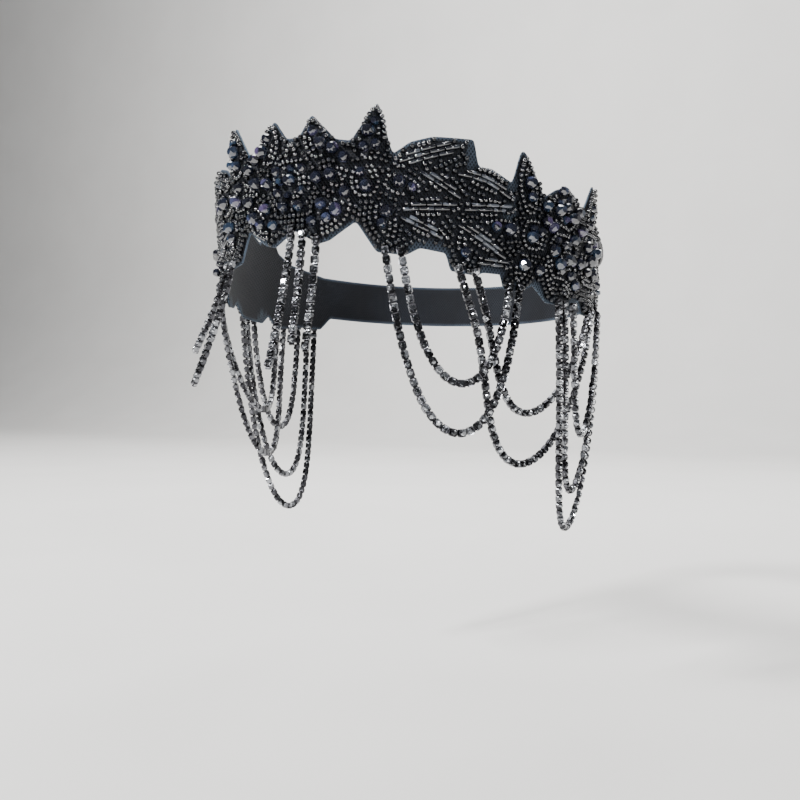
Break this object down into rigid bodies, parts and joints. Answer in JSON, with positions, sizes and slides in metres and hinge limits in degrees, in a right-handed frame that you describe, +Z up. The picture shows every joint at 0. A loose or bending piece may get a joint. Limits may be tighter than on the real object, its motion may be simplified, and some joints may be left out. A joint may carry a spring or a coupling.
{
  "type": "beaded head chain",
  "caption": "Black beaded net headband with petals and leaves of glass beads and cut stones, hung with swags and a short fringe of cup chain.",
  "frame": {"origin": "middle of the head opening at the height where the band sits on the head", "axes": "+Z up to the crown, the face looks along -Y, the head's left is +X"},
  "size_m": [0.1754, 0.2054, 0.1642],
  "materials": {
    "net": "fine dark net, matt",
    "beads": "opaque black glass beads and cut stones, polished",
    "cup_chain": "gunmetal plated cups set with dark stones"
  },
  "bodies": {
    "root": {"fringe_long": "cup_chain", "fringe_middle": "cup_chain", "fringe_short": "cup_chain", "front_centre": "beads", "front_flower_eye_l": "beads", "front_flower_eye_r": "beads", "front_flower_low_left_l": "beads", "front_flower_low_left_r": "beads", "front_flower_low_right_l": "beads", "front_flower_low_right_r": "beads", "front_flower_right_l": "beads", "front_flower_right_r": "beads", "front_flower_up_l": "beads", "front_flower_up_r": "beads", "front_flower_upper_left_l": "beads", "front_flower_upper_left_r": "beads", "leaf_crest_l": "beads", "leaf_crest_r": "beads", "leaf_hem_l": "beads", "leaf_hem_r": "beads", "leaf_long_l": "beads", "leaf_long_r": "beads", "leaf_low_left_l": "beads", "leaf_low_left_r": "beads", "leaf_middle_l": "beads", "leaf_middle_r": "beads", "leaf_slant_l": "beads", "leaf_slant_r": "beads", "leaf_top_l": "beads", "leaf_top_r": "beads", "net_band": "net", "rear_flower_l": "beads", "rear_flower_r": "beads", "side_cluster_l": "beads", "side_cluster_r": "beads", "side_flower_back_l": "beads", "side_flower_back_r": "beads", "side_flower_eye_l": "beads", "side_flower_eye_r": "beads", "side_flower_left_l": "beads", "side_flower_left_r": "beads", "side_flower_low_l": "beads", "side_flower_low_r": "beads", "side_flower_up_l": "beads", "side_flower_up_r": "beads", "swag_back_inner_l": "cup_chain", "swag_back_inner_r": "cup_chain", "swag_back_middle_l": "cup_chain", "swag_back_middle_r": "cup_chain", "swag_back_outer_l": "cup_chain", "swag_back_outer_r": "cup_chain", "swag_front_inner_l": "cup_chain", "swag_front_inner_r": "cup_chain", "swag_front_outer_l": "cup_chain", "swag_front_outer_r": "cup_chain", "swag_side_inner_l": "cup_chain", "swag_side_inner_r": "cup_chain", "swag_side_outer_l": "cup_chain", "swag_side_outer_r": "cup_chain"}
  },
  "joints": []
}
